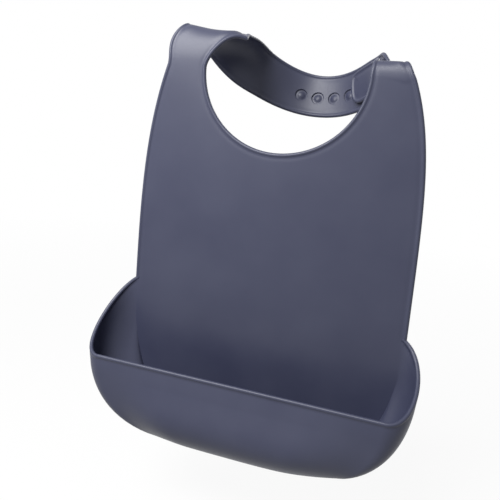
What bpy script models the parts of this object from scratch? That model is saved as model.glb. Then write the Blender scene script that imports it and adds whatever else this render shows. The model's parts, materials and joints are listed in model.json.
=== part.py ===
"""Silicone feeding bib: a moulded sheet with a scoop pocket and two neck straps that snap together.

Metres, +Z up, the wearer behind the panel (+Y). The origin is the middle of the neck loop.
"""
import math
from collections import namedtuple

import bmesh
import bpy
from mathutils import Matrix, Vector

# Sheet and seams
SHEET = 0.0020            # thickness of the moulded sheet
BEAD = 0.0028             # diameter of the round bead on every free edge
SEAM = 0.0003             # gap between neighbouring pieces

# Front panel
PANEL_SETBACK = 0.045     # panel plane in front of the loop's middle
LEFT_HALF_PANEL = 0.0970  # middle of the panel to each side at the pocket's top corners
RIGHT_HALF_PANEL = 0.0987
LEFT_POCKET_TOP = 0.1523  # loop's middle down to each top corner of the pocket
RIGHT_POCKET_TOP = 0.1610
POCKET_BOTTOM = 0.2553    # loop's middle down to the pocket's bottom
SIDE_DRAW_IN = 0.0146     # how far each side leans in by the widest part of the neck
LEFT_SIDE_POWER = 3.2     # how late each side starts to lean in
RIGHT_SIDE_POWER = 4.5
NECK_WIDTH = 0.1154       # widest part of the neck cut
NECK_WIDE_DROP = 0.0022   # loop's middle down to the widest part of the neck cut
NECK_DEPTH = 0.053        # from there down to the bottom of the neck cut

# Shoulders
LEFT_SHOULDER_RADIUS = 0.0103   # bend of the sheet over each shoulder
RIGHT_SHOULDER_RADIUS = 0.0054
LEFT_HALF_SPAN = 0.0580    # middle of the panel to the middle of each ridge
RIGHT_HALF_SPAN = 0.0670
LEFT_RIDGE_RISE = 0.0237  # ridge above the loop's middle, long strap's side
RIGHT_RIDGE_RISE = 0.0074  # ridge above the loop's middle, short strap's side
LEFT_RIDGE_WIDTH = 0.0366
RIGHT_RIDGE_WIDTH = 0.0212
LEFT_RIDGE_TILT = 4.5     # slope of the left ridge down to the neck, degrees
LEFT_NECK_FLARE = 0.0100  # how far the left ridge runs on towards the neck
FLARE_TURN = 26.0         # arc of the loop over which that runs out, degrees

# Pocket
POCKET_REACH = 0.0428     # rim in front of the panel
END_REACH = 0.1151        # middle of the panel to where each end of the rim aims
RIM_LEVEL = 0.201         # loop's middle down to the front rim
RIM_STRAIGHT = 0.195      # straight run of the front rim
RIM_LEAVE = 0.254          # share of the rim's drop where it stops running straight out
RIM_SAG = 1.055            # share of the drop that the rim aims for before the front corner
POCKET_CORNER_POWER = 3.0  # squareness of the pocket's lower outline
WALL_SQUARENESS = 5.8     # squareness of the wall's turn into the floor
END_SQUARENESS = 2.10     # squareness of the end walls, seen from the front
FOOT_START = 0.279        # share of the depth where the wall's foot begins
LEFT_FOOT_CORNER = 0.989   # share of the depth at the foot of each of the rim's corners
RIGHT_FOOT_CORNER = 0.936

# Neck loop
LOOP_REACH = 0.0652        # shoulders back to the nape
NAPE_DROP = 0.0368         # shoulders down to the nape
DIP_POWER = 1.5           # how late the straps start to dip
COLLAR_LEAN = 2.0        # lean of the straps towards the neck, degrees
LEAN_TURN = 53.0          # arc of the loop over which the lean comes in, degrees
LONG_STRAP_WIDTH = 0.030
SHORT_STRAP_WIDTH = 0.024
LONG_STRAP_TAIL = 0.041   # last socket to the long strap's tip
TAB_OVERHANG = 0.0066     # first stud to the short strap's tip
SHORT_STRAP_FLEX = 22.0   # loop angle where the short strap peels, degrees
FACE_CLEARANCE = 0.0010   # between the short strap's beads and the long strap

# Snaps
SOCKET_FIRST = 103.2      # loop angle of the first socket, degrees
SOCKET_PITCH = 0.012
SOCKET_COUNT = 6
FREE_SOCKETS = 4          # sockets left of the studs
PEEL_SOCKETS = 1          # free sockets that peel with the strap's end
SOCKET_MOUTH = 0.0087
SOCKET_DEPTH = 0.0024
SOCKET_WALL = 0.0009
KNOB_TAPER = 0.92         # top of a knob to its foot
STUD_COUNT = 2
STUD_CLEARANCE = 0.0008  # between the stud's head and the socket
STUD_NECK_INSET = 0.0007  # neck of the stud inside its head

# Facets
ACROSS = (1.0, 0.72, 0.30, -0.30, -0.72, -1.0)
BEAD_ARC = (125, 75, 25, -25, -75, -125)
SOCKET_SIDES = 20
TIP_STEPS = 5
TIP_TURN = 80.0           # how far a tip rounds off, degrees
WALL_STEPS = 10
LOOP_STEP = 5.0

# Sizes that follow
HALF_SHEET = SHEET / 2
BEAD_RADIUS = BEAD / 2
PANEL_Y = -PANEL_SETBACK
LEFT_RIDGE_Y = PANEL_Y + LEFT_SHOULDER_RADIUS
RIGHT_RIDGE_Y = PANEL_Y + RIGHT_SHOULDER_RADIUS
LOOP_HALF_WIDTH = (LEFT_HALF_SPAN + RIGHT_HALF_SPAN) / 2
LOOP_MIDDLE_X = (RIGHT_HALF_SPAN - LEFT_HALF_SPAN) / 2
HALF_NECK = NECK_WIDTH / 2
STRAP_INSET = HALF_SHEET + BEAD_RADIUS + FACE_CLEARANCE

Side = namedtuple("Side", "half top foot_corner power radius half_span rise width tilt flare")
LEFT = Side(LEFT_HALF_PANEL, LEFT_POCKET_TOP, LEFT_FOOT_CORNER, LEFT_SIDE_POWER, LEFT_SHOULDER_RADIUS,
            LEFT_HALF_SPAN, LEFT_RIDGE_RISE, LEFT_RIDGE_WIDTH, LEFT_RIDGE_TILT, LEFT_NECK_FLARE)
RIGHT = Side(RIGHT_HALF_PANEL, RIGHT_POCKET_TOP, RIGHT_FOOT_CORNER, RIGHT_SIDE_POWER, RIGHT_SHOULDER_RADIUS,
             RIGHT_HALF_SPAN, RIGHT_RIDGE_RISE, RIGHT_RIDGE_WIDTH, 0.0, 0.0)


def linear(hex_code):
    """Linear colour of an sRGB hex code."""
    channels = [int(hex_code[i:i + 2], 16) / 255 for i in (1, 3, 5)]
    curve = [c / 12.92 if c <= 0.04045 else ((c + 0.055) / 1.055) ** 2.4 for c in channels]
    return (*curve, 1.0)


def silicone(name, hex_code):
    material = bpy.data.materials.new(name)
    material.use_nodes = True
    shader = material.node_tree.nodes["Principled BSDF"]
    shader.inputs["Base Color"].default_value = linear(hex_code)
    shader.inputs["Roughness"].default_value = 0.55
    shader.inputs["Metallic"].default_value = 0.0
    return material


def add_object(name, bm, material, pivot, parent=None):
    """Close a bmesh into a named object whose origin is its pivot."""
    bmesh.ops.recalc_face_normals(bm, faces=bm.faces)
    bmesh.ops.translate(bm, verts=bm.verts, vec=-pivot)
    mesh = bpy.data.meshes.new(name)
    bm.to_mesh(mesh)
    bm.free()
    mesh.shade_smooth()
    mesh.set_sharp_from_angle(angle=math.radians(40))
    obj = bpy.data.objects.new(name, mesh)
    bpy.context.collection.objects.link(obj)
    obj.location = pivot
    if material:
        mesh.materials.append(material)
    if parent:
        obj.parent = parent
        obj.location = pivot - parent.location
    return obj


def bezier(p0, p1, p2, p3, t):
    s = 1 - t
    return p0 * s ** 3 + p1 * (3 * s * s * t) + p2 * (3 * s * t * t) + p3 * t ** 3


def smooth_step(low, high, value):
    t = min(max((value - low) / (high - low), 0.0), 1.0)
    return t * t * (3 - 2 * t)


def sheet_normal(rows, i, j):
    """Normal of the sheet's middle surface at a grid point, square to the sheet at its first and last row."""
    last = len(rows) - 1
    if i == 0:
        along = rows[1][j] * 4 - rows[0][j] * 3 - rows[2][j]
    elif i == last:
        along = rows[last][j] * 3 - rows[last - 1][j] * 4 + rows[last - 2][j]
    else:
        along = rows[i + 1][j] - rows[i - 1][j]
    across = rows[i][min(j + 1, len(rows[i]) - 1)] - rows[i][max(j - 1, 0)]
    return along.cross(across).normalized()


def edge_arc(edge, inner, normal, radius):
    """Round edge about a row's end point, from one face of the sheet to the other."""
    out = (edge - inner).normalized()
    out = (out - normal * out.dot(normal)).normalized()
    points = []
    for angle in BEAD_ARC:
        a = math.radians(angle)
        points.append(edge + (out * math.cos(a) + normal * math.sin(a)) * radius)
    return points


def sheet_solid(rows, radii):
    """Closed sheet about a grid of middle points; radii holds each row's two edge radii."""
    bm = bmesh.new()
    rings = []
    for i, row in enumerate(rows):
        normals = [sheet_normal(rows, i, j) for j in range(len(row))]
        first, last = radii[i]
        ring = [p + n * HALF_SHEET for p, n in zip(row[1:-1], normals[1:-1])]
        ring += edge_arc(row[-1], row[-2], normals[-1], last)
        ring += [p - n * HALF_SHEET for p, n in zip(row[-2:0:-1], normals[-2:0:-1])]
        ring += edge_arc(row[0], row[1], -normals[0], first)
        rings.append([bm.verts.new(p) for p in ring])
    count = len(rings[0])
    for ring, following in zip(rings, rings[1:]):
        for k in range(count):
            n = (k + 1) % count
            bm.faces.new((ring[k], ring[n], following[n], following[k]))
    caps = [bm.faces.new(rings[0]), bm.faces.new(rings[-1])]
    bmesh.ops.triangulate(bm, faces=caps)
    return bm


def panel_outline(t, inset, side):
    """Half outline of the panel from the pocket's bottom (0) past its corner (1) to the neck's level (2)."""
    half = side.half - inset
    depth = POCKET_BOTTOM - side.top - inset
    if t <= 1:
        angle = math.pi / 2 * (1 - t)
        x = half * math.cos(angle) ** (2 / POCKET_CORNER_POWER)
        z = -depth * math.sin(angle) ** (2 / POCKET_CORNER_POWER)
        return Vector((x, PANEL_Y, z - side.top))
    rise = t - 1
    z = (side.top - NECK_WIDE_DROP) * rise - side.top
    return Vector((half - SIDE_DRAW_IN * rise ** side.power, PANEL_Y, z))


def neck_edge(t):
    """Half of the neck cut, from its bottom (0) to its widest part (2)."""
    angle = math.pi / 4 * t
    x = HALF_NECK * math.sin(angle)
    z = -NECK_WIDE_DROP - NECK_DEPTH * math.cos(angle)
    return Vector((x, PANEL_Y, z))


def shoulder_row(a, side):
    """Neck and outer points of a shoulder, from the neck's widest part (0) to the top of the ridge (1)."""
    straight = side.rise - side.radius + NECK_WIDE_DROP
    length = a * (straight + side.radius * math.pi / 2)
    bend = max(length - straight, 0.0) / side.radius
    y = PANEL_Y + side.radius * (1 - math.cos(bend))
    z = -NECK_WIDE_DROP + min(length, straight) + side.radius * math.sin(bend)
    half_ridge = side.width / 2 - BEAD_RADIUS
    tilt = math.radians(side.tilt)
    across = Vector((math.cos(tilt), 0, math.sin(tilt) * a * a))
    to_neck = across * (half_ridge + side.flare)
    to_side = across * half_ridge
    inner = HALF_NECK + (side.half_span - to_neck.x - HALF_NECK) * a * a
    outer = side.half - HALF_SHEET - SIDE_DRAW_IN
    outer += (side.half_span + to_side.x - outer) * a
    return Vector((inner, y, z - to_neck.z)), Vector((outer, y, z + to_side.z))


def across_points(start, end):
    middle = (start + end) / 2
    half = (start - end) / 2
    return [middle + half * k for k in ACROSS]


def mirror_x(p):
    return Vector((-p.x, p.y, p.z))


def front_panel(material):
    """Flat sheet from the pocket's bottom to both shoulders, with the round neck cut."""
    lower = [0.0, 0.12, 0.26, 0.42, 0.58, 0.74, 0.88, 1.0, 1.04, 1.17, 1.34, 1.5, 1.67, 1.84, 2.0]
    upper = [0.2, 0.4, 0.55, 0.7, 0.85, 1.0]

    def half_band(side):
        band = [(neck_edge(t), panel_outline(t, HALF_SHEET, side), t > 1) for t in lower]
        for a in upper:
            band.append((*shoulder_row(a, side), True))
        return band

    left = half_band(LEFT)
    right = half_band(RIGHT)
    band = [(mirror_x(n), mirror_x(o), beaded) for n, o, beaded in reversed(left)] + right[1:]
    rows = [across_points(neck, outer) for neck, outer, beaded in band]
    radii = [(BEAD_RADIUS, BEAD_RADIUS if beaded else HALF_SHEET) for neck, outer, beaded in band]
    return add_object("front_panel", sheet_solid(rows, radii), material, Vector((0, PANEL_Y, 0)))


def rim_point(t, side):
    """Half of the pocket's rim, from a top corner (0) round the end (1) to the middle of the front (2)."""
    start_y = PANEL_Y - BEAD - SEAM
    front_y = PANEL_Y - POCKET_REACH
    straight = RIM_STRAIGHT / 2
    drop = RIM_LEVEL - side.top
    corner = Vector((straight, front_y, -RIM_LEVEL))
    if t >= 1:
        return Vector((straight * (2 - t), front_y, -RIM_LEVEL))
    top = Vector((side.half - BEAD, start_y, -side.top))
    leave = Vector((END_REACH, start_y, -side.top - drop * RIM_LEAVE))
    turn = Vector((END_REACH + BEAD, front_y, -side.top - drop * RIM_SAG))
    return bezier(top, leave, turn, corner, t)


def pocket_foot(t, side):
    """Where the pocket wall meets the panel, below the rim point of the same t."""
    half = side.half - HALF_SHEET
    depth = POCKET_BOTTOM - side.top - HALF_SHEET
    power = POCKET_CORNER_POWER
    if t <= 1:
        share = FOOT_START + (side.foot_corner - FOOT_START) * math.sin(t * math.pi / 2)
        x = half * (1 - share ** power) ** (1 / power)
    else:
        x = half * (1 - side.foot_corner ** power) ** (1 / power) * (2 - t)
        share = (1 - (x / half) ** power) ** (1 / power)
    return Vector((x, PANEL_Y - HALF_SHEET - SEAM, -side.top - depth * share))


def wall_point(rim, foot, d):
    """Point of the pocket wall: steep under the rim (0), round below, level where it meets the panel (1)."""
    angle = math.pi / 2 * d
    inward = 1 - max(math.cos(angle), 0.0) ** (2 / WALL_SQUARENESS)
    drop = math.sin(angle) ** (2 / WALL_SQUARENESS)
    level = rim.lerp(foot, inward)
    end_inward = 1 - max(1 - drop ** END_SQUARENESS, 0.0) ** (1 / END_SQUARENESS)
    level.x = rim.x + (foot.x - rim.x) * end_inward
    level.z = rim.z + (foot.z - rim.z) * drop
    return level


def catch_pocket(material):
    """Scoop that hangs in front of the panel: flat front, soft corners, swelling ends."""
    steps = [0.05, 0.15, 0.26, 0.38, 0.50, 0.60, 0.70, 0.78, 0.86, 0.93, 1.0, 1.06, 1.15, 1.3, 1.55, 2.0]

    def half_rows(side):
        ends = [(rim_point(t, side), pocket_foot(t, side)) for t in steps]
        return [[wall_point(*end, d / WALL_STEPS) for d in range(WALL_STEPS + 1)] for end in ends]

    left = [[mirror_x(p) for p in row] for row in half_rows(LEFT)]
    rows = left + half_rows(RIGHT)[-2::-1]
    bm = sheet_solid(rows, [(BEAD_RADIUS, HALF_SHEET)] * len(rows))
    bmesh.ops.bisect_plane(
        bm, geom=bm.verts[:] + bm.edges[:] + bm.faces[:], dist=1e-7,
        plane_co=(0, PANEL_Y - HALF_SHEET - SEAM, 0), plane_no=(0, 1, 0), clear_outer=True)
    bmesh.ops.holes_fill(bm, edges=[e for e in bm.edges if e.is_boundary])
    return add_object("catch_pocket", bm, material, Vector((0, PANEL_Y, 0)))


def loop_middle(angle):
    """Middle line of the straps: 180 at the left ridge, 90 at the nape, 0 at the lower right ridge."""
    a = math.radians(angle)
    dip = NAPE_DROP * abs(math.sin(a)) ** DIP_POWER
    lower = 1 - smooth_step(0, LEAN_TURN, angle)
    x = LOOP_MIDDLE_X + LOOP_HALF_WIDTH * math.cos(a)
    y = LEFT_RIDGE_Y + LOOP_REACH * math.sin(a) + (RIGHT_RIDGE_Y - LEFT_RIDGE_Y) * lower
    z = LEFT_RIDGE_RISE - dip + (RIGHT_RIDGE_RISE - LEFT_RIDGE_RISE) * lower
    return Vector((x, y, z))


def strap_frame(angle):
    """Place, direction along the loop, direction across towards the neck edge, and outward normal."""
    step = 0.5
    along = (loop_middle(angle - step) - loop_middle(angle + step)).normalized()
    inward = Vector((along.y, -along.x, 0)).normalized()
    turned = smooth_step(0, LEAN_TURN, min(angle, 180 - angle))
    ridge_lean = 90 + (LEFT_RIDGE_TILT if angle > 90 else 0)
    lean = math.radians(ridge_lean + (COLLAR_LEAN - ridge_lean) * turned)
    across = Vector((0, 0, 1)) * math.cos(lean) + inward * math.sin(lean)
    across = (across - along * across.dot(along)).normalized()
    outward = across.cross(along).normalized()
    return loop_middle(angle), along, across, outward


def loop_angle(start, distance):
    """Loop angle reached from a start angle after a distance along the loop towards the right."""
    angle = start
    step = 0.25
    left = abs(distance)
    while left > 0:
        piece = (loop_middle(angle) - loop_middle(angle - step)).length
        share = min(left / piece, 1.0)
        angle -= math.copysign(step * share, distance)
        left -= piece
    return angle


def strap_stations(start, stop, tip_radius):
    """Loop angles with half widths' share; the last ones round off the tip where tip_radius is set."""
    stations = []
    toward = 1 if stop > start else -1
    end = loop_angle(stop, -tip_radius * -toward) if tip_radius else stop
    count = max(int(abs(end - start) / LOOP_STEP), 2)
    for k in range(count + 1):
        stations.append((start + (end - start) * k / count, 1.0))
    if tip_radius:
        for k in range(1, TIP_STEPS + 1):
            turn = math.radians(TIP_TURN) * k / TIP_STEPS
            stations.append((loop_angle(end, tip_radius * math.sin(turn) * -toward), math.cos(turn)))
    return stations


def strap_solid(stations, half_width, inset, flare):
    """Beaded strap along the loop; inset moves it inwards and flare widens it on the neck's side."""
    rows = []
    for angle, share in stations:
        place, along, across, outward = strap_frame(angle)
        place = place - outward * inset(angle)
        half = (half_width(angle) - BEAD_RADIUS) * share
        rows.append(across_points(place + across * (half + flare(angle)), place - across * half))
    return sheet_solid(rows, [(BEAD_RADIUS, BEAD_RADIUS)] * len(rows))


def long_half_width(angle):
    wide = smooth_step(180 - LEAN_TURN, 180, angle)
    return (LONG_STRAP_WIDTH + (LEFT_RIDGE_WIDTH - LONG_STRAP_WIDTH) * wide) / 2


def short_half_width(angle):
    wide = 1 - smooth_step(0, LEAN_TURN, angle)
    return (SHORT_STRAP_WIDTH + (RIGHT_RIDGE_WIDTH - SHORT_STRAP_WIDTH) * wide) / 2


def long_flare(angle):
    return LEFT_NECK_FLARE * smooth_step(180 - FLARE_TURN, 180, angle)


def nothing(angle):
    return 0.0


def short_inset(angle):
    return STRAP_INSET * smooth_step(0, SHORT_STRAP_FLEX, angle)


def along_normal(place, outward):
    """Frame whose Z is the strap's outward normal."""
    return Matrix.Translation(place) @ outward.to_track_quat("Z", "Y").to_matrix().to_4x4()


def socket_angles():
    return [loop_angle(SOCKET_FIRST, SOCKET_PITCH * k) for k in range(SOCKET_COUNT)]


def long_strap_flex():
    """Loop angle where the long strap's end peels, midway between two sockets."""
    return loop_angle(SOCKET_FIRST, SOCKET_PITCH * (FREE_SOCKETS - PEEL_SOCKETS - 0.5))


def snap_tool(name, angles, radius_in, radius_out, low, high):
    """Hidden set of round tools square to the strap, used to raise the knobs and sink the sockets."""
    bm = bmesh.new()
    for angle in angles:
        place, along, across, outward = strap_frame(angle)
        frame = along_normal(place + outward * ((low + high) / 2), outward)
        bmesh.ops.create_cone(bm, cap_ends=True, segments=SOCKET_SIDES, radius1=radius_in,
                              radius2=radius_out, depth=high - low, matrix=frame)
    tool = add_object(name, bm, None, Vector((0, 0, 0)))
    tool.hide_render = True
    tool.display_type = "WIRE"
    return tool


def add_sockets(strap, angles):
    """Raised knobs on the strap's outer face, each with a blind socket from the neck side."""
    knob_radius = SOCKET_MOUTH / 2 + SOCKET_WALL
    knob_top = SOCKET_DEPTH - HALF_SHEET + SOCKET_WALL
    knobs = snap_tool(strap.name + "_knobs", angles, knob_radius, knob_radius * KNOB_TAPER, 0, knob_top)
    hollows = snap_tool(strap.name + "_hollows", angles, SOCKET_MOUTH / 2, SOCKET_MOUTH / 2,
                        -SHEET, SOCKET_DEPTH - HALF_SHEET)
    for tool, operation in ((knobs, "UNION"), (hollows, "DIFFERENCE")):
        cut = strap.modifiers.new(tool.name, "BOOLEAN")
        cut.object = tool
        cut.operation = operation
        cut.solver = "EXACT"


def seam_angle(angle, side):
    """Loop angle half a seam to one side of a flex line."""
    speed = (loop_middle(angle - 0.5) - loop_middle(angle + 0.5)).length
    return angle + side * SEAM / 2 / speed


def long_strap(material):
    pivot = Vector((-LEFT_HALF_SPAN, LEFT_RIDGE_Y, LEFT_RIDGE_RISE + BEAD_RADIUS))
    start = seam_angle(180, -2)
    stop = seam_angle(long_strap_flex(), 1)
    stations = strap_stations(start, stop, 0)
    bm = strap_solid(stations, long_half_width, nothing, long_flare)
    strap = add_object("long_strap", bm, material, pivot)
    add_sockets(strap, socket_angles()[:FREE_SOCKETS - PEEL_SOCKETS])
    return strap


def long_strap_end(material, parent):
    flex = long_strap_flex()
    place, along, across, outward = strap_frame(flex)
    start = seam_angle(flex, -1)
    stop = loop_angle(socket_angles()[-1], LONG_STRAP_TAIL)
    stations = strap_stations(start, stop, LONG_STRAP_WIDTH / 2)
    bm = strap_solid(stations, long_half_width, nothing, long_flare)
    end = add_object("long_strap_end", bm, material, place + outward * BEAD_RADIUS, parent)
    add_sockets(end, socket_angles()[FREE_SOCKETS - PEEL_SOCKETS:])
    return end


def right_shoulder(material):
    start = seam_angle(0, 2)
    stop = seam_angle(SHORT_STRAP_FLEX, -1)
    stations = strap_stations(start, stop, 0)
    bm = strap_solid(stations, short_half_width, short_inset, nothing)
    pivot = Vector((RIGHT_HALF_SPAN, RIGHT_RIDGE_Y, RIGHT_RIDGE_RISE))
    return add_object("right_shoulder", bm, material, pivot)


def short_strap(material):
    place, along, across, outward = strap_frame(SHORT_STRAP_FLEX)
    start = seam_angle(SHORT_STRAP_FLEX, 1)
    stop = loop_angle(socket_angles()[FREE_SOCKETS], -TAB_OVERHANG)
    stations = strap_stations(start, stop, SHORT_STRAP_WIDTH / 2)
    bm = strap_solid(stations, short_half_width, short_inset, nothing)
    return add_object("short_strap", bm, material, place - outward * (STRAP_INSET + BEAD_RADIUS))


def stud(name, angle, material, parent):
    """Mushroom stud on the short strap's outer face, seated in the long strap's socket."""
    place, along, across, outward = strap_frame(angle)
    foot = HALF_SHEET + SEAM
    top = STRAP_INSET + SOCKET_DEPTH - HALF_SHEET - STUD_CLEARANCE
    head = SOCKET_MOUTH / 2 - STUD_CLEARANCE
    neck = head - STUD_NECK_INSET
    head_start = STRAP_INSET - HALF_SHEET
    profile = [(0, foot), (neck, foot), (neck, head_start), (head, head_start + STUD_NECK_INSET),
               (head, top - STUD_NECK_INSET), (neck, top), (0, top)]
    bm = bmesh.new()
    verts = [bm.verts.new((r, 0, z)) for r, z in profile]
    edges = [bm.edges.new(pair) for pair in zip(verts, verts[1:])]
    bmesh.ops.spin(bm, geom=verts + edges, cent=(0, 0, 0), axis=(0, 0, 1), angle=math.tau,
                   steps=SOCKET_SIDES, use_merge=True)
    bmesh.ops.remove_doubles(bm, verts=bm.verts, dist=1e-7)
    bmesh.ops.transform(bm, verts=bm.verts, matrix=along_normal(place - outward * STRAP_INSET, outward))
    return add_object(name, bm, material, place, parent)


def main():
    for obj in list(bpy.data.objects):
        bpy.data.objects.remove(obj, do_unlink=True)
    front_panel(silicone("panel_silicone", "#4c4e63"))
    catch_pocket(silicone("pocket_silicone", "#54566b"))
    right_shoulder(silicone("shoulder_silicone", "#5c5e73"))
    strap = long_strap(silicone("long_strap_silicone", "#62657a"))
    long_strap_end(silicone("strap_end_silicone", "#62657a"), strap)
    tab = short_strap(silicone("short_strap_silicone", "#666980"))
    stud_material = silicone("stud_silicone", "#565a70")
    seated = socket_angles()[FREE_SOCKETS:FREE_SOCKETS + STUD_COUNT]
    for number, angle in enumerate(seated, 1):
        stud("stud_%d" % number, angle, stud_material, tab)


main()
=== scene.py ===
"""Looks of a silicone feeding bib: a moulded sheet with beaded edges, a scoop pocket and two straps."""
import json
import math
from collections import namedtuple

import bmesh
import bpy
from mathutils import Matrix, Vector


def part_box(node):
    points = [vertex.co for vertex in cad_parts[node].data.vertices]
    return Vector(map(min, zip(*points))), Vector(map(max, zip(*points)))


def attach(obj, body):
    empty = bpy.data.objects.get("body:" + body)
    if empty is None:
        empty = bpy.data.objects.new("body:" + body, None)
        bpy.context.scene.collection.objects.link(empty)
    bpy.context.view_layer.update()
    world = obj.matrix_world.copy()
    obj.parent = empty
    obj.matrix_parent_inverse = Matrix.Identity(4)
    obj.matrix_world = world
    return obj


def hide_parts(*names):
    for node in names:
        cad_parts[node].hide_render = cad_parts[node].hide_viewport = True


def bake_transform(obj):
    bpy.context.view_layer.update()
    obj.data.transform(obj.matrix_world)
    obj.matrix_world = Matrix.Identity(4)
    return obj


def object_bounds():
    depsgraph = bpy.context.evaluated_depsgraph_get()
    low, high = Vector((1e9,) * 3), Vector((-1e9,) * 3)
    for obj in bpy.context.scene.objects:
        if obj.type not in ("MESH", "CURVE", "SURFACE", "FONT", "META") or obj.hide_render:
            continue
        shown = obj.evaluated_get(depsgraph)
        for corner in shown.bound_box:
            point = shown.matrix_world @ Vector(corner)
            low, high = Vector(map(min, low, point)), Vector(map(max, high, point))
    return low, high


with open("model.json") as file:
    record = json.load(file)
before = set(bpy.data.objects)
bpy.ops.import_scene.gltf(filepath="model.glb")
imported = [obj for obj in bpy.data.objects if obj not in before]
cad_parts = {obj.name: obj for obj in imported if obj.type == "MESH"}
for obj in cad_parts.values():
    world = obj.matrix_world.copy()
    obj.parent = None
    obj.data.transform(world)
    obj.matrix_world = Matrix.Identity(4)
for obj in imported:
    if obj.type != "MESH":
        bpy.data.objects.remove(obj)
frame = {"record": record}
cad_low, cad_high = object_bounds()

MM = 0.001

# Sheet, the bead along its edges and the fine groove beside the bead
SHEET = 2.0 * MM
BEAD = 2.8 * MM
BEAD_TURN = (0, 20, 40, 60, 80, 100, 118, 132)
GROOVE = 0.22 * MM
GROOVE_PLACE = 1.5 * MM
GROOVE_END = 2.7 * MM
PLAIN_FROM = 5.0 * MM

# Front panel, from the frame's origin in the middle of the neck loop
SIDE_DRAW_IN = 14.6 * MM
NECK_WIDE_DROP = 2.2 * MM
NECK_DEPTH = 53.0 * MM
NECK_EASE = 1.5
PANEL_BOW = 4.0 * MM
OUTER_BEAD_FROM = 0.97

# The two sides hang a little differently. Panel: half width at its edge, level of the pocket's top
# corner, how far down the corner the pocket wall turns in, how late the side leans in, half width of
# the neck cut. Shoulder: bulge of its outer edge, radius of its bend. Ridge: distance from the middle,
# height, width, slope in degrees, extra reach towards the neck.
Side = namedtuple("Side", "edge top foot_corner power neck bulge radius half_span rise width tilt flare")
LEFT = Side(edge=96.0 * MM, top=152.3 * MM, foot_corner=0.989, power=3.2, neck=55.2 * MM,
            bulge=3.0 * MM, radius=10.3 * MM,
            half_span=58.0 * MM, rise=23.7 * MM, width=36.6 * MM, tilt=4.5, flare=10.0 * MM)
RIGHT = Side(edge=97.7 * MM, top=161.0 * MM, foot_corner=0.936, power=4.5, neck=57.7 * MM,
             bulge=0.0 * MM, radius=5.4 * MM,
             half_span=67.0 * MM, rise=7.4 * MM, width=21.2 * MM, tilt=0.0, flare=0.0 * MM)
FLARE_TURN = 26.0
FLARE_DROOP = 3.5 * MM
RIGHT_SEAM = 0.4

# Pocket, in depths below the origin. A power of 2 is round and more is squarer. The rim leaves the
# panel and sags at its ends by shares of its drop, and the wall's foot starts a share down the corner.
POCKET_BOTTOM = 255.3 * MM
END_REACH = 115.1 * MM
RIM_LEVEL = 201.0 * MM
RIM_STRAIGHT = 195.0 * MM
RIM_LEAVE = 0.254
RIM_SAG = 1.055
CORNER_POWER = 3.0
WALL_POWER = 5.8
END_POWER = 2.1
FOOT_START = 0.279
FOOT_INSET_SHARE = 0.4
FRONT_SWELL = 7.0 * MM
FRONT_SWELL_FROM = 45.0 * MM
SWELL_POWER = 1.6

# Straps round the neck: loop angles run from 180 degrees at the left ridge to 0 at the right. Leans
# are degrees from upright, and turns are the loop angles over which a change happens.
LOOP_REACH = 65.2 * MM
NAPE_DROP = 36.8 * MM
DIP_POWER = 1.5
LEFT_COLLAR_LEAN = 4.0
NAPE_COLLAR_LEAN = -20.0
RIGHT_COLLAR_LEAN = -4.0
LEFT_TWIST = (92.0, 160.0)
RIGHT_TWIST = (48.0, 92.0)
LEAN_TURN = 53.0
RIGHT_LEAN_TURN = 48.0
TAPER_TURN = 95.0
LONG_STRAP_WIDTH = 32.0 * MM
LONG_STRAP_TAIL = 23.0 * MM
LONG_TIP_POWER = 2.0
TAIL_FROM = 50.0
TAIL_TURN = 20.0
TAIL_SPLAY = 3.0 * MM
SHORT_STRAP_WIDTH = 24.0 * MM
TAB_OVERHANG = 6.6 * MM
TAB_TIP_POWER = 3.4
INSET_TURN = 12.0
FACE_CLEARANCE = 1.0 * MM
TAIL_SEAM_GAP = 0.02 * MM
TAB_SEAM_GAP = 0.02

# Snaps: the first socket's loop angle, and six sockets, of which the last two hold the studs
SOCKET_FIRST = 103.2
SOCKET_PITCH = 12.6 * MM
SOCKET_COUNT = 6
FREE_SOCKETS = 4
SHEET_SOCKETS = 2
SOCKET_MOUTH = 8.7 * MM
SOCKET_DEPTH = 2.4 * MM
FREE_SOCKET_DEPTH = 0.9 * MM
SOCKET_BOSS = 0.35 * MM
SOCKET_RING_SHARE = 0.5
SOCKET_WALL = 0.9 * MM
SOCKET_EASE = 0.4 * MM
KNOB_EASE = SOCKET_EASE * 1.6
SNAP_DROP = 1.8 * MM
STUD_CLEARANCE = 0.8 * MM
STUD_NECK_INSET = 0.7 * MM
STUD_ROOT_SHARE = 0.6
STUD_HEAD_FROM = -60

# Fineness of the meshes
PANEL_STEPS = 150
LEFT_SHOULDER_STEPS = 26
RIGHT_SHOULDER_STEPS = 20
STRAP_STEPS = 56
TAIL_STEPS = 48
TIP_STEPS = 20
PANEL_COLUMNS = 12
STRAP_COLUMNS = 8
POCKET_STEPS = 110
WALL_STEPS = 44
RIM_ROWS = 6
RIM_SLOPE_ROW = 3
SNAP_SIDES = 48
CORNER_STEPS = 6
LOOP_STEP = 0.25
SLOPE_TURN = 0.5
GUIDE_TURN = 1
WELD = 0.002 * MM
CREASE = math.radians(48)

# Slate silicone: its two shades, gloss, and the sizes of its clouds and grain. The real grain is finer
# than this and is drawn as coarse as it needs to show.
SLATE_DARK = "#393c52"
SLATE_PALE = "#414459"
SILICONE_IOR = 1.41
SILICONE_SPECULAR = 0.6
SILICONE_ROUGHNESS = (0.39, 0.45)
NOISE_SPAN = (0.3, 0.7)
CLOUD_SIZE = 42.0 * MM
CLOUD_DETAIL = 3.0
CLOUD_ROUGHNESS = 0.55
GRAIN_SIZE = 0.9 * MM
GRAIN_DETAIL = 2.0
GRAIN_STRENGTH = 0.12
GRAIN_HEIGHT = 0.1 * MM

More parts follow.
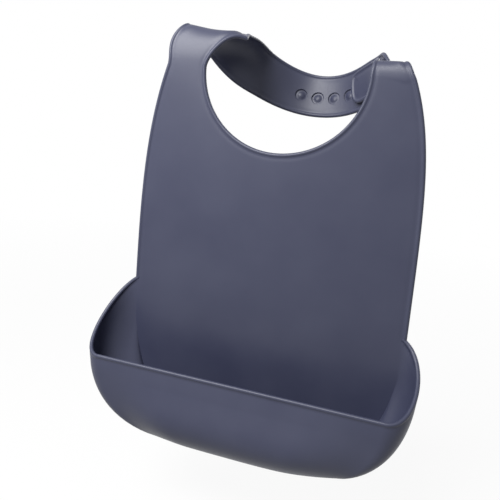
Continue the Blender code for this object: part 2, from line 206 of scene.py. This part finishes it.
# White paper floor and surround
FLOOR_HALF_WIDTH = 6.0
FLOOR_GAP = 60 * MM
FLOOR_FADE = (0.5, 1.4)
FLOOR_WHITE_SHARE = 0.93
FILL_STRENGTH = 0.06

# Directions to the two suns, and the place of the soft box, which aims at the middle of the panel
KEY_FROM = (-0.15, -0.66, 0.74)
KEY_ENERGY = 1.8
BACK_FROM = (0.35, 0.80, 0.48)
BACK_ENERGY = 1.0
SUN_ANGLE = math.radians(20)
SOFT_BOX_ENERGY = 2.1
SOFT_BOX_PLACE = (-220.0 * MM, -330.0 * MM, 190.0 * MM)
SOFT_BOX_AIM = (0.0 * MM, -45.0 * MM, -80.0 * MM)
SOFT_BOX_SIZE = 250.0 * MM

# Camera, in metres, degrees and the millimetres of its film
CAMERA_PLACE = (0.15341, -0.4773, -0.03315)
CAMERA_TURN = 20.874
CAMERA_DIP = 10.621
CAMERA_ROLL = 5.155
FILM_WIDTH = 36.0
LENS_LENGTH = 50.4

# Sizes that follow
HALF_SHEET = SHEET / 2
BEAD_RADIUS = BEAD / 2
STRAP_INSET = HALF_SHEET + BEAD_RADIUS + FACE_CLEARANCE
chest_face = next(m for m in frame["record"]["mounts"] if m["name"] == "chest_face")
PANEL_Y = chest_face["pos_m"][1] - HALF_SHEET
LEFT_RIDGE_Y = PANEL_Y + LEFT.radius
RIGHT_RIDGE_Y = PANEL_Y + RIGHT.radius
LOOP_HALF_WIDTH = (LEFT.half_span + RIGHT.half_span) / 2
LOOP_MIDDLE_X = (RIGHT.half_span - LEFT.half_span) / 2
POCKET_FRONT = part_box("catch_pocket")[0].y + BEAD_RADIUS


def smooth_step(low, high, value):
    """Soft rise from 0 at the low value to 1 at the high one."""
    t = min(max((value - low) / (high - low), 0.0), 1.0)
    return t * t * (3 - 2 * t)


def steps(start, stop, count):
    """Evenly spaced values, both ends included."""
    return [start + (stop - start) * k / count for k in range(count + 1)]


def square_arc(share, power):
    """Quarter of a squared-off circle, from (1, 0) at share 0 to (0, 1) at share 1."""
    angle = math.pi / 2 * share
    across, up = math.cos(angle), math.sin(angle)
    size = (abs(across) ** power + abs(up) ** power) ** (1 / power)
    return across / size, up / size


def mirror_x(p):
    return Vector((-p.x, p.y, p.z))


# Edge lines of the sheet, all through the middle of the bead

def panel_edge(t, side):
    """Half outline of the panel: pocket's bottom (0), past the corner (1), to the neck's level (2)."""
    if t <= 1:
        out, down = square_arc(1 - t, CORNER_POWER)
        depth = POCKET_BOTTOM - HALF_SHEET - side.top
        return Vector((side.edge * out, PANEL_Y, -side.top - depth * down))
    rise = t - 1
    z = (side.top - NECK_WIDE_DROP) * rise - side.top
    return Vector((side.edge - SIDE_DRAW_IN * rise ** side.power, PANEL_Y, z))


def neck_edge(t, side):
    """Half of the round neck cut, from its lowest point (0) to its widest part (2)."""
    angle = math.pi / 4 * t
    across = side.neck * math.sin(angle)
    return Vector((across, PANEL_Y, -NECK_WIDE_DROP - NECK_DEPTH * math.cos(angle)))


def shoulder_row(turn, side):
    """Neck edge, outer edge and normal over a shoulder, from the neck's level (0) to the ridge (1)."""
    straight = side.rise - side.radius + NECK_WIDE_DROP
    length = turn * (straight + side.radius * math.pi / 2)
    bend = max(length - straight, 0.0) / side.radius
    height = side.rise + NECK_WIDE_DROP
    up_share = min((min(length, straight) + side.radius * math.sin(bend)) / height, 1.0)
    level = math.sqrt(1 - up_share ** 2)
    y = PANEL_Y + side.radius * (1 - level)
    z = height * up_share - NECK_WIDE_DROP
    half_ridge = side.width / 2 - BEAD_RADIUS
    tilt = math.radians(side.tilt)
    across = Vector((math.cos(tilt), 0, math.sin(tilt) * turn * turn))
    to_neck = across * (half_ridge + side.flare)
    to_side = across * half_ridge
    neck = side.neck + (side.half_span - to_neck.x - side.neck) * turn ** NECK_EASE
    outer = side.edge - SIDE_DRAW_IN
    outer += (side.half_span + to_side.x - outer) * turn + side.bulge * math.sin(math.pi * turn) ** 2
    droop = FLARE_DROOP * turn ** 3 * side.flare / LEFT.flare
    neck_point = Vector((neck, y, z - to_neck.z - droop))
    outer_point = Vector((outer, y, z + to_side.z))
    up = Vector((0, side.radius * up_share, height * level))
    normal = (outer_point - neck_point).cross(up).normalized()
    return neck_point, outer_point, normal


def loop_middle(angle):
    """Middle line of the straps: out over the ridges, and lower at the nape."""
    a = math.radians(angle)
    dip = NAPE_DROP * abs(math.sin(a)) ** DIP_POWER
    lower = 1 - smooth_step(0, LEAN_TURN, angle)
    x = LOOP_MIDDLE_X + LOOP_HALF_WIDTH * math.cos(a)
    y = LEFT_RIDGE_Y + LOOP_REACH * math.sin(a) + (RIGHT_RIDGE_Y - LEFT_RIDGE_Y) * lower
    return Vector((x, y, LEFT.rise - dip + (RIGHT.rise - LEFT.rise) * lower))


def strap_frame(angle):
    """Place on the strap, direction across it towards the neck, and normal away from the neck."""
    along = (loop_middle(angle - SLOPE_TURN) - loop_middle(angle + SLOPE_TURN)).normalized()
    inward = Vector((along.y, -along.x, 0)).normalized()
    if angle > 90:
        upright = smooth_step(0, LEAN_TURN, 180 - angle)
        ridge_lean = 90 + LEFT.tilt
    else:
        upright = smooth_step(0, RIGHT_LEAN_TURN, angle)
        ridge_lean = 90 + RIGHT.tilt
    collar = NAPE_COLLAR_LEAN + (LEFT_COLLAR_LEAN - NAPE_COLLAR_LEAN) * smooth_step(*LEFT_TWIST, angle)
    collar += (RIGHT_COLLAR_LEAN - NAPE_COLLAR_LEAN) * (1 - smooth_step(*RIGHT_TWIST, angle))
    lean = math.radians(ridge_lean + (collar - ridge_lean) * upright)
    across = Vector((0, 0, 1)) * math.cos(lean) + inward * math.sin(lean)
    across = (across - along * across.dot(along)).normalized()
    return loop_middle(angle), across, across.cross(along).normalized()


def loop_angle(start, distance):
    """Loop angle after a distance along the loop towards the right shoulder, or back if negative."""
    angle = start
    left = abs(distance)
    while left > 0:
        piece = (loop_middle(angle) - loop_middle(angle - LOOP_STEP)).length
        share = min(left / piece, 1.0)
        angle -= math.copysign(LOOP_STEP * share, distance)
        left -= piece
    return angle


def long_half_width(angle):
    wide = smooth_step(180 - TAPER_TURN, 180, angle)
    return (LONG_STRAP_WIDTH + (LEFT.width - LONG_STRAP_WIDTH) * wide) / 2


def short_half_width(angle):
    wide = 1 - smooth_step(0, LEAN_TURN, angle)
    return (SHORT_STRAP_WIDTH + (RIGHT.width - SHORT_STRAP_WIDTH) * wide) / 2


def long_row(angle, share=1.0):
    """Row of the long strap, which flares at its ridge and splays from the tab at its end."""
    place, across, normal = strap_frame(angle)
    half = (long_half_width(angle) - BEAD_RADIUS) * share
    flare = LEFT.flare * smooth_step(180 - FLARE_TURN, 180, angle)
    free = max(TAIL_FROM - angle, 0.0) / TAIL_TURN
    place += normal * TAIL_SPLAY * free ** 2
    droop = normal * FLARE_DROOP * flare / LEFT.flare
    return place + across * (half + flare) - droop, place - across * half, normal, 1.0


def short_row(angle, share=1.0):
    """Row of the short strap, which moves in from its ridge to lie inside the long strap."""
    place, across, normal = strap_frame(angle)
    place -= normal * STRAP_INSET * smooth_step(0, INSET_TURN, angle)
    half = (short_half_width(angle) - BEAD_RADIUS) * share
    return place + across * half, place - across * half, normal, 1.0


def tip_rows(row, tip_angle, radius, toward, power):
    """Rows round a strap's tip, and a last guide row that is the one before the tip turned over."""
    centre = loop_angle(tip_angle, -radius * toward)
    rows = []
    for turn in steps(0, 1, TIP_STEPS)[1:]:
        across, along = square_arc(turn, power)
        rows.append(row(loop_angle(centre, radius * along * toward), across))
    neck, outer, normal, bead = rows[-2]
    return rows + [(outer, neck, normal, bead)]


# Mesh building

def edge_section(edge, out, normal, bead):
    """Points over one face, from the outermost point of an edge in to the plain sheet."""
    radius = HALF_SHEET + (BEAD_RADIUS - HALF_SHEET) * bead
    points = []
    for degrees in BEAD_TURN:
        a = math.radians(degrees)
        height = radius * math.sin(a)
        if degrees > 90:
            height = HALF_SHEET + (height - HALF_SHEET) * bead
        points.append(edge + out * (radius * math.cos(a)) + normal * height)
    groove_floor = HALF_SHEET - GROOVE * bead
    for depth, height in ((GROOVE_PLACE, groove_floor), (GROOVE_END, HALF_SHEET), (PLAIN_FROM, HALF_SHEET)):
        points.append(edge - out * depth + normal * height)
    return points


def edge_out(before, after, normal, sign):
    """Direction out of the sheet at an edge, from the edge points before and after."""
    return (after - before).cross(normal).normalized() * sign


def loft(rings):
    """Closed skin over rings of points: a grid laid over them, sewn lengthwise, its open ends filled."""
    count = len(rings[0])
    bm = bmesh.new()
    bmesh.ops.create_grid(bm, x_segments=count, y_segments=len(rings) - 1, size=1)
    places = [p for ring in rings for p in ring + ring[:1]]
    for vert, place in zip(bm.verts, places):
        vert.co = place
    bmesh.ops.remove_doubles(bm, verts=bm.verts, dist=WELD)
    filled = bmesh.ops.holes_fill(bm, edges=[e for e in bm.edges if e.is_boundary])
    bmesh.ops.triangulate(bm, faces=filled["faces"])
    bmesh.ops.recalc_face_normals(bm, faces=bm.faces)
    return bm


def bowed(point):
    """Point of the sheet after the panel's middle bellies forward. Its edges and the straps stay."""
    across = 1 - (point.x / LEFT.edge) ** 2
    up = 1 - (2 * point.z / POCKET_BOTTOM + 1) ** 2
    near = 1 - smooth_step(0, LEFT.radius, abs(point.y - PANEL_Y) - BEAD_RADIUS)
    return point - Vector((0, PANEL_BOW * max(across, 0.0) * max(up, 0.0) * near, 0))


def sheet_loft(rows, columns):
    """Beaded sheet over rows of (neck edge, outer edge, normal, outer bead). End rows only guide."""
    first = rows[1]
    guide = (rows[2][1] - rows[0][1]).cross(first[2])
    sign = math.copysign(1.0, guide.dot(first[1] - first[0]))
    rings = []
    for before, row, after in zip(rows, rows[1:], rows[2:]):
        neck, outer, normal, bead = row
        neck_out = edge_out(before[0], after[0], normal, -sign)
        outer_out = edge_out(before[1], after[1], normal, sign)
        faces = []
        for side in (normal, -normal):
            from_neck = edge_section(neck, neck_out, side, 1.0)
            from_outer = edge_section(outer, outer_out, side, bead)
            shares = steps(0, 1, columns)[1:-1]
            between = [from_neck[-1].lerp(from_outer[-1], s) for s in shares]
            faces.append(from_neck + between + from_outer[::-1])
        rings.append([bowed(p) for p in faces[0] + faces[1][-2:0:-1]])
    return loft(rings)


def smooth_faces(piece):
    piece.data.shade_smooth()
    piece.data.set_sharp_from_angle(angle=CREASE)


def finish_piece(name, bm, material):
    """Object at the origin from a finished mesh."""
    mesh = bpy.data.meshes.new(name)
    bm.to_mesh(mesh)
    bm.free()
    mesh.materials.append(material)
    piece = bpy.data.objects.new(name, mesh)
    bpy.context.scene.collection.objects.link(piece)
    smooth_faces(piece)
    return piece


def carve(piece, tool, operation):
    """Join a tool to a piece, or cut it out, and drop the tool."""
    cut = piece.modifiers.new(tool.name, "BOOLEAN")
    cut.object = tool
    cut.operation = operation
    cut.solver = "EXACT"
    evaluated = piece.evaluated_get(bpy.context.evaluated_depsgraph_get())
    piece.data = bpy.data.meshes.new_from_object(evaluated)
    piece.modifiers.clear()
    bpy.data.objects.remove(tool)


def turned(profile, places):
    """Round bodies turned from one profile of (radius, height), one at each place."""
    bm = bmesh.new()
    for place in places:
        verts = [bm.verts.new((r, 0, z)) for r, z in profile]
        edges = [bm.edges.new(pair) for pair in zip(verts, verts[1:])]
        bmesh.ops.spin(bm, geom=verts + edges, cent=(0, 0, 0), axis=(0, 0, 1), angle=math.tau,
                       steps=SNAP_SIDES, use_merge=True)
        fresh = [v for v in bm.verts if not v.tag]
        bmesh.ops.transform(bm, verts=fresh, matrix=place)
        for vert in fresh:
            vert.tag = True
    bmesh.ops.remove_doubles(bm, verts=bm.verts, dist=WELD)
    bmesh.ops.recalc_face_normals(bm, faces=bm.faces)
    return bm


def corner_arc(centre, radius, start, stop):
    """Points of a rounded corner of a turned profile."""
    points = []
    for degrees in steps(start, stop, CORNER_STEPS):
        a = math.radians(degrees)
        points.append((centre[0] + radius * math.cos(a), centre[1] + radius * math.sin(a)))
    return points


def snap_place(angle, inset):
    """Frame on a strap whose Z is the strap's normal."""
    place, across, normal = strap_frame(angle)
    turn = normal.to_track_quat("Z", "Y").to_matrix().to_4x4()
    return Matrix.Translation(place - normal * inset - across * SNAP_DROP) @ turn


def add_sockets(piece, angles, depth, material):
    """Round knobs on the outer face, each with a blind socket that opens towards the neck."""
    places = [snap_place(angle, 0.0) for angle in angles]
    mouth = SOCKET_MOUTH / 2
    radius = mouth + SOCKET_WALL
    top = SOCKET_DEPTH - HALF_SHEET + SOCKET_WALL
    knob = [(0, 0), (radius, 0), (radius, HALF_SHEET)]
    knob += corner_arc((radius - KNOB_EASE, top - KNOB_EASE), KNOB_EASE, 0, 90) + [(0, top)]
    carve(piece, finish_piece("knobs", turned(knob, places), material), "UNION")
    floor = depth - HALF_SHEET
    hollow = [(0, -SHEET), (mouth + SOCKET_EASE, -SHEET)]
    hollow += corner_arc((mouth + SOCKET_EASE, SOCKET_EASE - HALF_SHEET), SOCKET_EASE, 270, 180)
    hollow += corner_arc((mouth - SOCKET_EASE, floor - SOCKET_EASE), SOCKET_EASE, 0, 90)
    if depth < SOCKET_DEPTH:
        ring = mouth * SOCKET_RING_SHARE
        boss = floor - SOCKET_BOSS
        hollow += [(ring + SOCKET_BOSS, floor), (ring, boss), (0, boss)]
    else:
        hollow.append((0, floor))
    carve(piece, finish_piece("hollows", turned(hollow, places), material), "DIFFERENCE")
    smooth_faces(piece)


# Pieces

def socket_angles():
    return [loop_angle(SOCKET_FIRST, SOCKET_PITCH * k) for k in range(SOCKET_COUNT)]


def strap_seam():
    """Loop angle between the sockets that belong to the sheet and those on the strap's tail."""
    return loop_angle(SOCKET_FIRST, SOCKET_PITCH * (SHEET_SOCKETS - 0.5))


def mirrored(row):
    neck, outer, normal, bead = row
    return mirror_x(neck), mirror_x(outer), mirror_x(normal), bead


def panel_rows(side):
    """Rows of half the panel. Its outer bead starts where the pocket's rim meets it."""
    front = Vector((0, -1, 0))
    rows = []
    for t in steps(0, 2, PANEL_STEPS)[:-1]:
        bead = smooth_step(OUTER_BEAD_FROM, 1.0, t)
        rows.append((neck_edge(t, side), panel_edge(t, side), front, bead))
    return rows


def shoulder_rows(turns, side):
    return [(*shoulder_row(turn, side), 1.0) for turn in turns]


def bib_sheet(material):
    """Panel, both shoulders and the long strap as far as its second socket, in one skin."""
    left = panel_rows(LEFT) + shoulder_rows(steps(0, 1, LEFT_SHOULDER_STEPS), LEFT)
    right = panel_rows(RIGHT) + shoulder_rows(steps(0, 1, RIGHT_SHOULDER_STEPS), RIGHT)
    right += [short_row(RIGHT_SEAM), short_row(2 * RIGHT_SEAM)]
    seam = strap_seam()
    strap = [long_row(angle) for angle in steps(180, seam, STRAP_STEPS)[1:]]
    strap.append(long_row(seam - GUIDE_TURN))
    rows = right[::-1] + [mirrored(row) for row in left[1:]] + strap
    piece = finish_piece("bib_sheet", sheet_loft(rows, PANEL_COLUMNS), material)
    add_sockets(piece, socket_angles()[:SHEET_SOCKETS], FREE_SOCKET_DEPTH, material)
    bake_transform(piece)
    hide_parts("front_panel", "long_strap")


def long_strap_tail(material):
    """Rest of the long strap, with the sockets in use and a round tip."""
    seam = strap_seam()
    tip = loop_angle(socket_angles()[-1], LONG_STRAP_TAIL)
    radius = LONG_STRAP_WIDTH / 2 - BEAD_RADIUS
    start = loop_angle(seam, TAIL_SEAM_GAP)
    stop = loop_angle(tip, -radius)
    rows = [long_row(seam + GUIDE_TURN)]
    rows += [long_row(angle) for angle in steps(start, stop, TAIL_STEPS)]
    rows += tip_rows(long_row, tip, radius, 1, LONG_TIP_POWER)
    piece = finish_piece("long_strap_tail", sheet_loft(rows, STRAP_COLUMNS), material)
    add_sockets(piece, socket_angles()[SHEET_SOCKETS:FREE_SOCKETS], FREE_SOCKET_DEPTH, material)
    add_sockets(piece, socket_angles()[FREE_SOCKETS:], SOCKET_DEPTH, material)
    flex = loop_angle(SOCKET_FIRST, SOCKET_PITCH * (SHEET_SOCKETS + 0.5))
    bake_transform(piece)
    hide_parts("long_strap_end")


def short_strap_sheet(material):
    """Back of the right shoulder and the tab that lies inside the long strap."""
    tip = loop_angle(socket_angles()[FREE_SOCKETS], -TAB_OVERHANG)
    radius = SHORT_STRAP_WIDTH / 2 - BEAD_RADIUS
    stop = loop_angle(tip, radius)
    rows = shoulder_rows([1], RIGHT)
    rows += [short_row(angle) for angle in steps(RIGHT_SEAM + TAB_SEAM_GAP, stop, STRAP_STEPS)]
    rows += tip_rows(short_row, tip, radius, -1, TAB_TIP_POWER)
    piece = finish_piece("short_strap_sheet", sheet_loft(rows, STRAP_COLUMNS), material)
    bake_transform(piece)
    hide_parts("right_shoulder", "short_strap")


def stud(name, angle, material):
    """Mushroom stud on the tab, seated in a socket."""
    foot = HALF_SHEET * STUD_ROOT_SHARE
    top = STRAP_INSET + SOCKET_DEPTH - HALF_SHEET - STUD_CLEARANCE
    head = SOCKET_MOUTH / 2 - STUD_CLEARANCE
    neck = head - STUD_NECK_INSET
    start = STRAP_INSET - HALF_SHEET
    ease = STUD_NECK_INSET
    profile = [(0, foot), (neck + ease, foot)]
    profile += corner_arc((neck + ease, HALF_SHEET + ease), ease, 270, 180)
    profile += [(neck, start)] + corner_arc((head - ease, start + ease), ease, STUD_HEAD_FROM, 0)
    profile += corner_arc((head - ease, top - ease), ease, 0, 90) + [(0, top)]
    piece = finish_piece(name + "_snap", turned(profile, [snap_place(angle, STRAP_INSET)]), material)
    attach(piece, "short_strap")
    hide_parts(name)


def rim_point(t, side):
    """Half of the pocket's rim: panel's edge (0), round the end (1), to the middle of the front (2)."""
    straight = RIM_STRAIGHT / 2
    drop = RIM_LEVEL - side.top
    if t >= 1:
        return Vector((straight * (2 - t), POCKET_FRONT, -RIM_LEVEL))
    start = Vector((side.edge - BEAD_RADIUS, PANEL_Y, -side.top))
    leave = Vector((END_REACH, PANEL_Y, -side.top - drop * RIM_LEAVE))
    turn = Vector((END_REACH + BEAD, POCKET_FRONT, -side.top - drop * RIM_SAG))
    corner = Vector((straight, POCKET_FRONT, -RIM_LEVEL))
    s = 1 - t
    return start * s ** 3 + leave * (3 * s * s * t) + turn * (3 * s * t * t) + corner * t ** 3


def pocket_foot(t, side):
    """Where the pocket wall runs into the panel's edge."""
    power = CORNER_POWER
    half = side.edge - HALF_SHEET * FOOT_INSET_SHARE
    if t <= 1:
        share = FOOT_START + (side.foot_corner - FOOT_START) * math.sin(t * math.pi / 2)
        x = half * (1 - share ** power) ** (1 / power)
    else:
        x = half * (1 - side.foot_corner ** power) ** (1 / power) * (2 - t)
        share = (1 - (x / half) ** power) ** (1 / power)
    depth = POCKET_BOTTOM - HALF_SHEET - side.top
    return Vector((x, PANEL_Y, -side.top - depth * share))


def wall_point(rim, foot, share):
    """Point of the pocket wall: steep under the rim (0), round below, level at the panel (1).

    The front bellies out between its two ends."""
    inside, drop = square_arc(share, WALL_POWER)
    point = rim.lerp(foot, 1 - inside)
    end_inside = max(1 - drop ** END_POWER, 0.0) ** (1 / END_POWER)
    point.x = foot.x + (rim.x - foot.x) * end_inside
    point.z = rim.z + (foot.z - rim.z) * drop
    middle = 1 - smooth_step(FRONT_SWELL_FROM, RIM_STRAIGHT / 2, abs(rim.x))
    point.y -= FRONT_SWELL * math.sin(math.pi * drop ** SWELL_POWER) * inside * middle
    return point


def wall_rows(side):
    ends = [(rim_point(t, side), pocket_foot(t, side)) for t in steps(0, 2, POCKET_STEPS)]
    return [[wall_point(*end, share) for share in steps(0, 1, WALL_STEPS)] for end in ends]


def wall_ring(before, row, after):
    """Both faces of the pocket wall along one row from rim to foot, with the rim's bead."""
    along_row = [b - a for a, b in zip(before, after)]
    normals = []
    for j in range(len(row)):
        down = row[min(j + 1, len(row) - 1)] - row[max(j - 1, 0)]
        normals.append(down.cross(along_row[j]).normalized())
    rim_out = along_row[0].cross(normals[0]).normalized()
    rim_out *= math.copysign(1.0, rim_out.dot(row[0] - row[RIM_SLOPE_ROW]))
    faces = []
    for side in (1, -1):
        skin = edge_section(row[0], rim_out, normals[0] * side, 1.0)[:-1]
        skin += [p + n * (HALF_SHEET * side) for p, n in zip(row[RIM_ROWS:], normals[RIM_ROWS:])]
        faces.append(skin)
    return faces[0] + faces[1][:0:-1]


def pocket_scoop(material):
    """Scoop that grows out of the panel's lower edge, with a beaded rim."""
    left = [[mirror_x(p) for p in row] for row in wall_rows(LEFT)]
    rows = left + wall_rows(RIGHT)[-2::-1]
    padded = rows[:1] + rows + rows[-1:]
    rings = [wall_ring(*three) for three in zip(padded, rows, padded[2:])]
    piece = finish_piece("pocket_scoop", loft(rings), material)
    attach(piece, "bib")
    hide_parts("catch_pocket")


# Materials

def linear(hex_code):
    """Linear colour of an sRGB hex code."""
    channels = [int(hex_code[i:i + 2], 16) / 255 for i in (1, 3, 5)]
    return (*[c / 12.92 if c <= 0.04045 else ((c + 0.055) / 1.055) ** 2.4 for c in channels], 1.0)


def add_node(tree, kind, settings=None, inputs=None, links=None):
    """Add a node, set its properties and sockets, and link other nodes' outputs to its inputs."""
    node = tree.nodes.new(kind)
    for key, value in (settings or {}).items():
        setattr(node, key, value)
    for key, value in (inputs or {}).items():
        node.inputs[key].default_value = value
    for key, output in (links or {}).items():
        tree.links.new(output, node.inputs[key])
    return node


def new_tree(owner):
    """Empty node tree of a material or a world."""
    owner.use_nodes = True
    owner.node_tree.nodes.clear()
    return owner.node_tree


def moulded_silicone(name):
    """Slate silicone rubber from a fine-blasted mould: matt and soft, with a broad pale sheen."""
    material = bpy.data.materials.new(name)
    tree = new_tree(material)
    place = add_node(tree, "ShaderNodeTexCoord").outputs["Object"]
    cloud = add_node(tree, "ShaderNodeTexNoise", links={"Vector": place},
                     inputs={"Scale": 1 / CLOUD_SIZE, "Detail": CLOUD_DETAIL, "Roughness": CLOUD_ROUGHNESS})
    grain = add_node(tree, "ShaderNodeTexNoise", links={"Vector": place},
                     inputs={"Scale": 1 / GRAIN_SIZE, "Detail": GRAIN_DETAIL})
    tint = add_node(tree, "ShaderNodeValToRGB", links={"Fac": cloud.outputs["Fac"]})
    for stop, position, shade in zip(tint.color_ramp.elements, NOISE_SPAN, (SLATE_DARK, SLATE_PALE)):
        stop.position = position
        stop.color = linear(shade)
    rough = add_node(tree, "ShaderNodeMapRange", links={"Value": grain.outputs["Fac"]},
                     inputs={"From Min": NOISE_SPAN[0], "From Max": NOISE_SPAN[1],
                             "To Min": SILICONE_ROUGHNESS[0], "To Max": SILICONE_ROUGHNESS[1]})
    bump = add_node(tree, "ShaderNodeBump", links={"Height": grain.outputs["Fac"]},
                    inputs={"Strength": GRAIN_STRENGTH, "Distance": GRAIN_HEIGHT})
    shader = add_node(tree, "ShaderNodeBsdfPrincipled",
                      inputs={"IOR": SILICONE_IOR, "Specular IOR Level": SILICONE_SPECULAR},
                      links={"Base Color": tint.outputs["Color"], "Roughness": rough.outputs["Result"],
                             "Normal": bump.outputs["Normal"]})
    add_node(tree, "ShaderNodeOutputMaterial", links={"Surface": shader.outputs["BSDF"]})
    return material


def seen_directly(tree):
    """1 for camera, mirror and see-through rays, 0 for the rays that light the object."""
    path = add_node(tree, "ShaderNodeLightPath").outputs
    pair = add_node(tree, "ShaderNodeMath", {"operation": "MAXIMUM"},
                    links={0: path["Is Camera Ray"], 1: path["Is Glossy Ray"]}).outputs[0]
    return add_node(tree, "ShaderNodeMath", {"operation": "MAXIMUM"},
                    links={0: pair, 1: path["Is Transmission Ray"]}).outputs[0]


def studio_floor():
    """White paper floor: it keeps a faint shadow near the bib, is plain white further out, and throws
    light back on the bib as a grey paper would."""
    material = bpy.data.materials.new("white_paper")
    tree = new_tree(material)
    paper = add_node(tree, "ShaderNodeBsdfDiffuse", inputs={"Color": linear("#f4f4f4")}).outputs[0]
    white = add_node(tree, "ShaderNodeEmission",
                     inputs={"Color": linear("#ffffff"), "Strength": 1.0}).outputs[0]
    place = add_node(tree, "ShaderNodeTexCoord").outputs["Object"]
    reach = add_node(tree, "ShaderNodeVectorMath", {"operation": "LENGTH"},
                     links={0: place}).outputs["Value"]
    fade = add_node(tree, "ShaderNodeMapRange", links={"Value": reach},
                    inputs={"From Min": FLOOR_FADE[0], "From Max": FLOOR_FADE[1],
                            "To Min": FLOOR_WHITE_SHARE}).outputs["Result"]
    seen = add_node(tree, "ShaderNodeMixShader", links={0: fade, 1: paper, 2: white}).outputs[0]
    grey = add_node(tree, "ShaderNodeBsdfDiffuse", inputs={"Color": linear("#909090")}).outputs[0]
    mix = add_node(tree, "ShaderNodeMixShader",
                   links={0: seen_directly(tree), 1: grey, 2: seen}).outputs[0]
    add_node(tree, "ShaderNodeOutputMaterial", links={"Surface": mix})
    bm = bmesh.new()
    bmesh.ops.create_grid(bm, x_segments=1, y_segments=1, size=FLOOR_HALF_WIDTH)
    bmesh.ops.translate(bm, verts=bm.verts, vec=(0, 0, cad_low.z - FLOOR_GAP))
    finish_piece("studio_floor", bm, material)


def add_lamp(name, kind, energy, spread, place, aim):
    """Lamp at a place, turned to its aim. The spread is a sun's angle or a soft box's width."""
    light = bpy.data.lights.new(name, kind)
    light.energy = energy
    setattr(light, "angle" if kind == "SUN" else "size", spread)
    lamp = bpy.data.objects.new(name, light)
    bpy.context.scene.collection.objects.link(lamp)
    lamp.location = place
    lamp.rotation_euler = (Vector(place) - Vector(aim)).to_track_quat("Z", "Y").to_euler()


def studio():
    """White surround, a sun in front, a soft box by the left shoulder and a weak sun behind."""
    world = bpy.data.worlds.new("white_surround")
    bpy.context.scene.world = world
    tree = new_tree(world)
    fill = add_node(tree, "ShaderNodeBackground",
                    inputs={"Color": linear("#ffffff"), "Strength": FILL_STRENGTH}).outputs[0]
    white = add_node(tree, "ShaderNodeBackground",
                     inputs={"Color": linear("#ffffff"), "Strength": 1.0}).outputs[0]
    mix = add_node(tree, "ShaderNodeMixShader",
                   links={0: seen_directly(tree), 1: fill, 2: white}).outputs[0]
    add_node(tree, "ShaderNodeOutputWorld", links={"Surface": mix})
    add_lamp("key_light", "SUN", KEY_ENERGY, SUN_ANGLE, KEY_FROM, (0, 0, 0))
    add_lamp("back_light", "SUN", BACK_ENERGY, SUN_ANGLE, BACK_FROM, (0, 0, 0))
    add_lamp("soft_box", "AREA", SOFT_BOX_ENERGY, SOFT_BOX_SIZE, SOFT_BOX_PLACE, SOFT_BOX_AIM)
    bpy.context.scene.view_settings.view_transform = "Standard"


def camera():
    """Camera at the photograph's place, with the photograph's slight roll."""
    lens = bpy.data.cameras.new("camera")
    lens.sensor_width = FILM_WIDTH
    lens.lens = LENS_LENGTH
    viewer = bpy.data.objects.new("camera", lens)
    bpy.context.scene.collection.objects.link(viewer)
    turn = Matrix.Rotation(math.radians(CAMERA_TURN), 4, "Z")
    tilt = Matrix.Rotation(math.radians(90 - CAMERA_DIP), 4, "X")
    roll = Matrix.Rotation(math.radians(CAMERA_ROLL), 4, "Z")
    viewer.matrix_world = Matrix.Translation(CAMERA_PLACE) @ turn @ tilt @ roll
    bpy.context.scene.camera = viewer


def main():
    silicone = moulded_silicone("moulded_silicone")
    bib_sheet(silicone)
    pocket_scoop(silicone)
    long_strap_tail(silicone)
    short_strap_sheet(silicone)
    for number, angle in enumerate(socket_angles()[FREE_SOCKETS:], 1):
        stud("stud_%d" % number, angle, silicone)
    studio_floor()
    studio()
    camera()


main()
